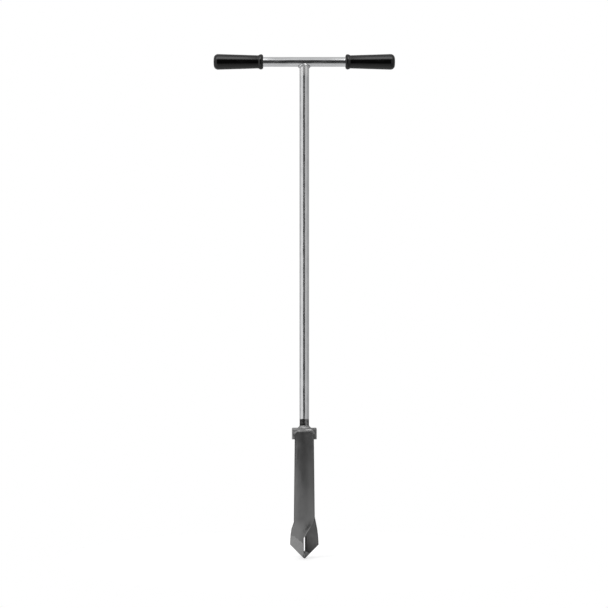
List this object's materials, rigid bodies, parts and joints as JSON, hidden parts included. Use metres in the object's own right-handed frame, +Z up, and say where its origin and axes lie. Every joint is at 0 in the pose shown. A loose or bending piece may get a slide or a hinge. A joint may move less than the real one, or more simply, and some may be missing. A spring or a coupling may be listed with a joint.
{
  "type": "soil sampling auger",
  "caption": "Hand soil auger: T-handle of zinc-plated tube with black push-on grips, a bridge, and opposed bowed blades whose flared cutting wings meet in a welded point.",
  "frame": {"origin": "cutting tip, on the axis of the shaft", "axes": "+Z up the shaft to the handle, X along the cross bar, front blade on the -Y side"},
  "size_m": [0.45, 0.0552, 1.2503],
  "materials": {
    "zinc_tube": "zinc plated, streaked",
    "black_grip": "glossy black moulding",
    "blade_steel": "dark satin steel",
    "weld_steel": "grey weld bead"
  },
  "bodies": {
    "root": {"cross_bar": "zinc_tube", "left_grip": "black_grip", "right_grip": "black_grip", "shaft_tube": "zinc_tube", "handle_weld": "zinc_tube", "shaft_weld": "weld_steel", "bridge": "blade_steel", "front_blade": "blade_steel", "rear_blade": "blade_steel", "front_blade_weld": "weld_steel", "rear_blade_weld": "weld_steel", "tip_weld": "weld_steel"}
  },
  "joints": []
}
